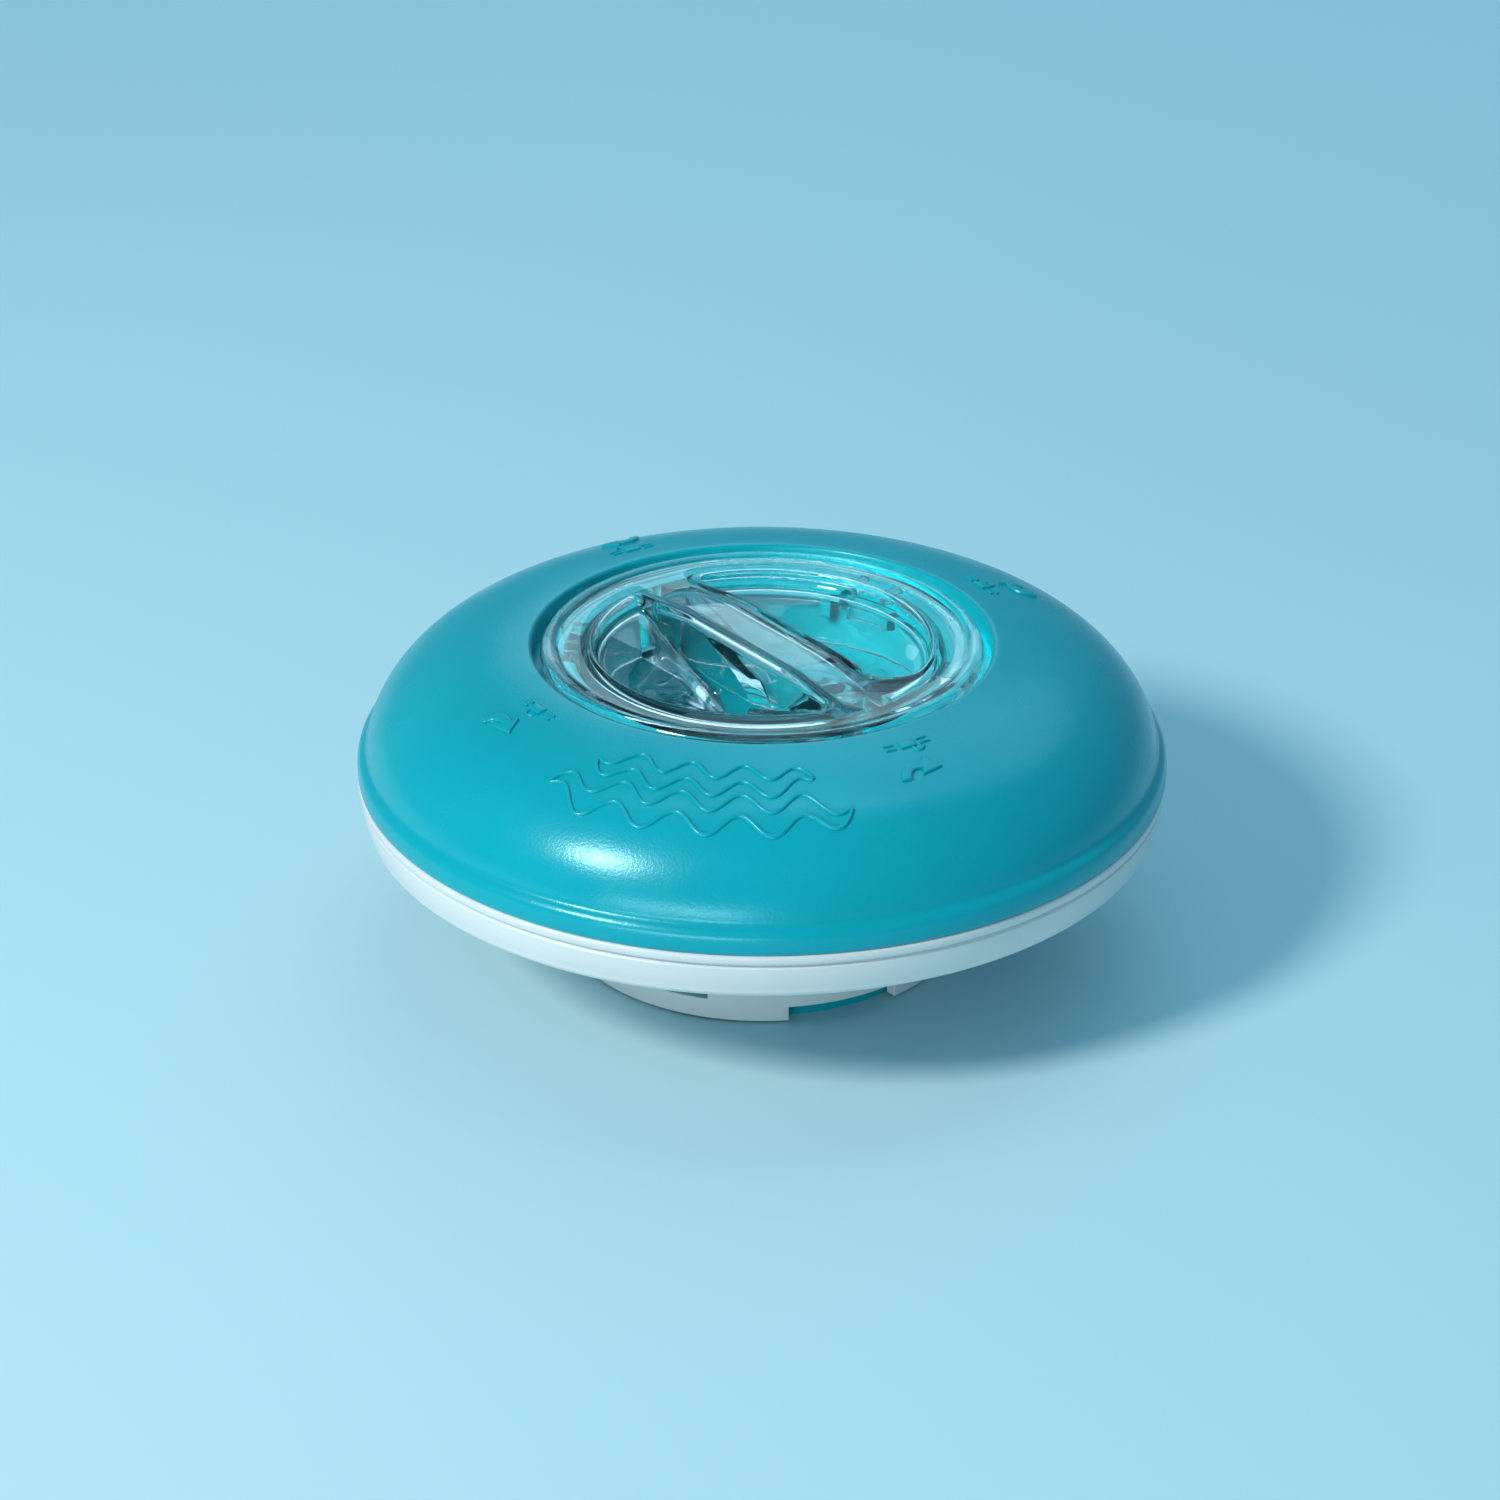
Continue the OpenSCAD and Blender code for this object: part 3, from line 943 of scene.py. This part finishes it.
def add_rim(bm):
    """The rim bead, the flange's underside and the skirt, turned round the axis. Returns its rings."""
    profile = [
        (44.2, FLANGE_TOP_Z),
        (44.75, FLANGE_TOP_Z + 0.06),
        *arc(LID_R - BEAD_R, BEAD_Z, BEAD_R, 140, -130, 30),
        (45.4, FLANGE_Z),
        (SKIRT_R + 0.8, FLANGE_Z),
        (SKIRT_R + 0.25, FLANGE_Z - 0.15),
        (SKIRT_R, FLANGE_Z - 0.6),
        (SKIRT_R - 0.1, SKIRT_Z + 1.2),
        (SKIRT_R - 0.4, SKIRT_Z + 0.45),
        (SKIRT_R - 1.1, SKIRT_Z),
    ]
    turns = [360 * i / TURN_STEPS for i in range(TURN_STEPS)]
    rings = [[bm.verts.new(polar(r, az, z)) for az in turns] for r, z in profile]
    join_rings(bm, rings)
    return rings


def add_bar_hollow(bm):
    """The hollow under the bar, with a roof that follows the bar's top. Returns its mouth."""
    reach, count = 30.0, 48
    levels = [
        (5.4, SKIRT_Z), (5.15, SKIRT_Z + 0.15), (5.0, SKIRT_Z + 0.5), (4.7, FLANGE_Z - 1.2),
        (4.5, FLANGE_Z - 0.5), (4.0, FLANGE_Z - 0.1), (3.4, FLANGE_Z),
    ]
    rings = []
    for half, z in levels:
        share = smoothstep((z - SKIRT_Z) / (FLANGE_Z - SKIRT_Z))
        ring = []
        for turn in range(2 * count):
            u = -(reach + half) * math.cos(math.pi * turn / count)
            over = max(0.0, abs(u) - reach)
            v = math.sqrt(max(0.0, half * half - over * over)) * (-1 if turn < count else 1)
            ring.append(lid_vert(bm, u, v, z + share * bar_lift(u)))
        rings.append(ring)
    join_rings(bm, rings)
    roof = rings[-1]
    for i in range(1, count - 1):
        bm.faces.new((roof[i], roof[i + 1], roof[2 * count - i - 1], roof[2 * count - i]))
    bm.faces.new((roof[0], roof[1], roof[-1]))
    bm.faces.new((roof[count - 1], roof[count], roof[count + 1]))
    return rings[0]


def add_scoop_hollow(bm, side):
    """The hollow under a scoop. Returns its mouth."""
    foot_r = 12.5
    levels = [(0.35, foot_r, SKIRT_Z), (0.1, foot_r, SKIRT_Z + 0.12), (0.0, foot_r, SKIRT_Z + 0.4)]
    levels += [(0.0, r, FLANGE_TOP_Z - depth) for r, depth in UNDER_SCOOP]
    levels.append((-0.2, 36.4, FLANGE_TOP_Z - 5.15))
    rings = [[lid_vert(bm, u, v, z) for u, v in crescent(side, grow, r_in)] for grow, r_in, z in levels]
    join_rings(bm, rings)
    top, last = rings[-1], 2 * CRESCENT_STEPS + 1
    for i in range(CRESCENT_STEPS):
        bm.faces.new((top[i], top[i + 1], top[last - 1 - i], top[last - i]))
    return rings[0]


def build_lid_body(bm):
    """The lid's one moulding: recesses, bar, rim, skirt and the hollows under them."""
    left, right = add_recess(bm, 1, 2.6, 3.2), add_recess(bm, -1, 2.6, 8.0)
    rows = add_bar_top(bm, left, right)
    rim = add_rim(bm)
    left_arc, right_arc = left[STRAIGHT_STEPS:] + left[:1], right[:1] + right[STRAIGHT_STEPS:][::-1]
    fill(bm, rim[0], left_arc + rows[0][1:-1] + right_arc + rows[-1][1:-1][::-1])
    fill(bm, rim[-1], add_bar_hollow(bm), add_scoop_hollow(bm, 1), add_scoop_hollow(bm, -1))


def everywhere(r, z, az):
    """Makes every cell solid."""
    return True


def build_lugs(bm):
    """Three bayonet lugs, the gussets between skirt and flange over them, and the small turn stop, as
    solids."""
    foot_r = SKIRT_R + 0.04
    low, high = POCKET_Z + 0.5, FLANGE_Z - 0.04
    gusset_in, gusset_out = 5, 7.5
    for i in range(3):
        az = LUG_AZ + 120 * i
        span = [az - LUG_SPAN / 2, az + LUG_SPAN / 2]
        polar_cells(bm, [foot_r, NECK_R - 0.6], [LUG_Z, LUG_Z + LUG_H], span, everywhere)
        polar_cells(
            bm,
            [foot_r, 43.8],
            [low, high],
            [az - gusset_out, az - gusset_in, az + gusset_in, az + gusset_out],
            lambda r, z, a, az=az: abs(a - az) > gusset_in,
        )
    polar_cells(bm, [40.3, 45.3], [low, high], [-22.5, -11.5], everywhere)


def build_lid():
    bm = bmesh.new()
    build_lid_body(bm)
    mesh_object("clear_lid", bm, CLEAR, "lid", ["lid"], sharp=40)
    bm = bmesh.new()
    build_lugs(bm)
    mesh_object("clear_lid_lugs", bm, CLEAR, "lid", bevel=0.35, segments=3)


# ---- Studio ----


def build_floor():
    """A plain pale floor."""
    material, tree, shader, place = new_material("floor")
    tint = mixed(tree, noise(tree, place, 3), (0.47, 0.69, 0.75), (0.50, 0.72, 0.78))
    tree.links.new(tint, shader.inputs["Base Color"])
    shader.inputs["Roughness"].default_value = 0.7
    bm = bmesh.new()
    bmesh.ops.create_grid(bm, x_segments=2, y_segments=2, size=8)
    mesh = bpy.data.meshes.new("floor")
    bm.to_mesh(mesh)
    bm.free()
    mesh.materials.append(material)
    floor = bpy.data.objects.new("floor", mesh)
    bpy.context.scene.collection.objects.link(floor)


def add_area(name, direction, distance, size, power, colour, height=None):
    """A soft lamp that shines on the object from a direction: a disk, or a rectangle if it has a height."""
    lamp = bpy.data.lights.new(name, "AREA")
    lamp.shape = "RECTANGLE" if height else "DISK"
    lamp.size = size
    if height:
        lamp.size_y = height
    lamp.energy = power
    lamp.color = colour
    obj = bpy.data.objects.new(name, lamp)
    towards = Vector(direction).normalized()
    obj.location = Vector((0, 0, SEAM_Z * MM)) + towards * distance
    obj.rotation_euler = towards.to_track_quat("Z", "Y").to_euler()
    bpy.context.scene.collection.objects.link(obj)


def build_lights():
    """A key lamp from the front left, a broad low fill, cards behind and above, and a blue sky."""
    add_area("key", (-0.609, -0.489, 0.625), 1.5, 0.33, 17.2, (1.0, 0.985, 0.95))
    add_area("fill", (-0.4, -1.0, 0.085), 3.0, 1.9, 24, (0.85, 0.98, 1.0), height=0.44)
    add_area("card", (-0.06, 0.88, 0.47), 1.6, 0.55, 0.7, (0.7, 0.93, 1.0))
    add_area("sky_panel", (0.25, 0.55, 0.8), 1.8, 1.5, 6, (0.45, 0.8, 1.0))
    add_area("strip", (0.0, 0.22, 1.0), 1.5, 1.0, 0.9, (0.9, 0.97, 1.0), height=0.07)
    world = bpy.data.worlds.new("studio")
    bpy.context.scene.world = world
    world.use_nodes = True
    back = world.node_tree.nodes["Background"]
    back.inputs["Color"].default_value = (0.28, 0.68, 0.90, 1)
    back.inputs["Strength"].default_value = 0.5


def build_camera():
    """A view from the front, 26.87 degrees up and 0.9 m from a point just beside the middle of the seam."""
    elevation = math.radians(26.87)
    distance = 0.9
    view_width = 335.35  # mm that the frame shows at that distance
    shift_right, shift_up = -2.68, 1.52
    back = Vector((0, -math.cos(elevation), math.sin(elevation)))
    up = Vector((0, math.sin(elevation), math.cos(elevation)))
    aim = Vector((shift_right, 0, SEAM_Z)) + up * shift_up
    camera = bpy.data.cameras.new("camera")
    camera.sensor_width = 36
    camera.lens = camera.sensor_width * distance / (view_width * MM)
    obj = bpy.data.objects.new("camera", camera)
    obj.location = aim * MM + back * distance
    obj.rotation_euler = back.to_track_quat("Z", "Y").to_euler()
    bpy.context.scene.collection.objects.link(obj)
    bpy.context.scene.camera = obj


build_top_shell()
build_bayonet()
build_marks()
build_emblem()
build_bottom_shell()
build_flow_ring()
build_basket()
build_screws()
build_seal("rim_seal_skin", "rim_seal", 1.6, "float", RUBBER)
build_seal("neck_seal_skin", "neck_seal", 1.8, "float", RUBBER)
build_seal("lid_seal_skin", "lid_seal", 2.8, "seal", SILICONE)
build_lid()
build_floor()
build_lights()
build_camera()
bpy.context.scene.view_settings.view_transform = "Standard"
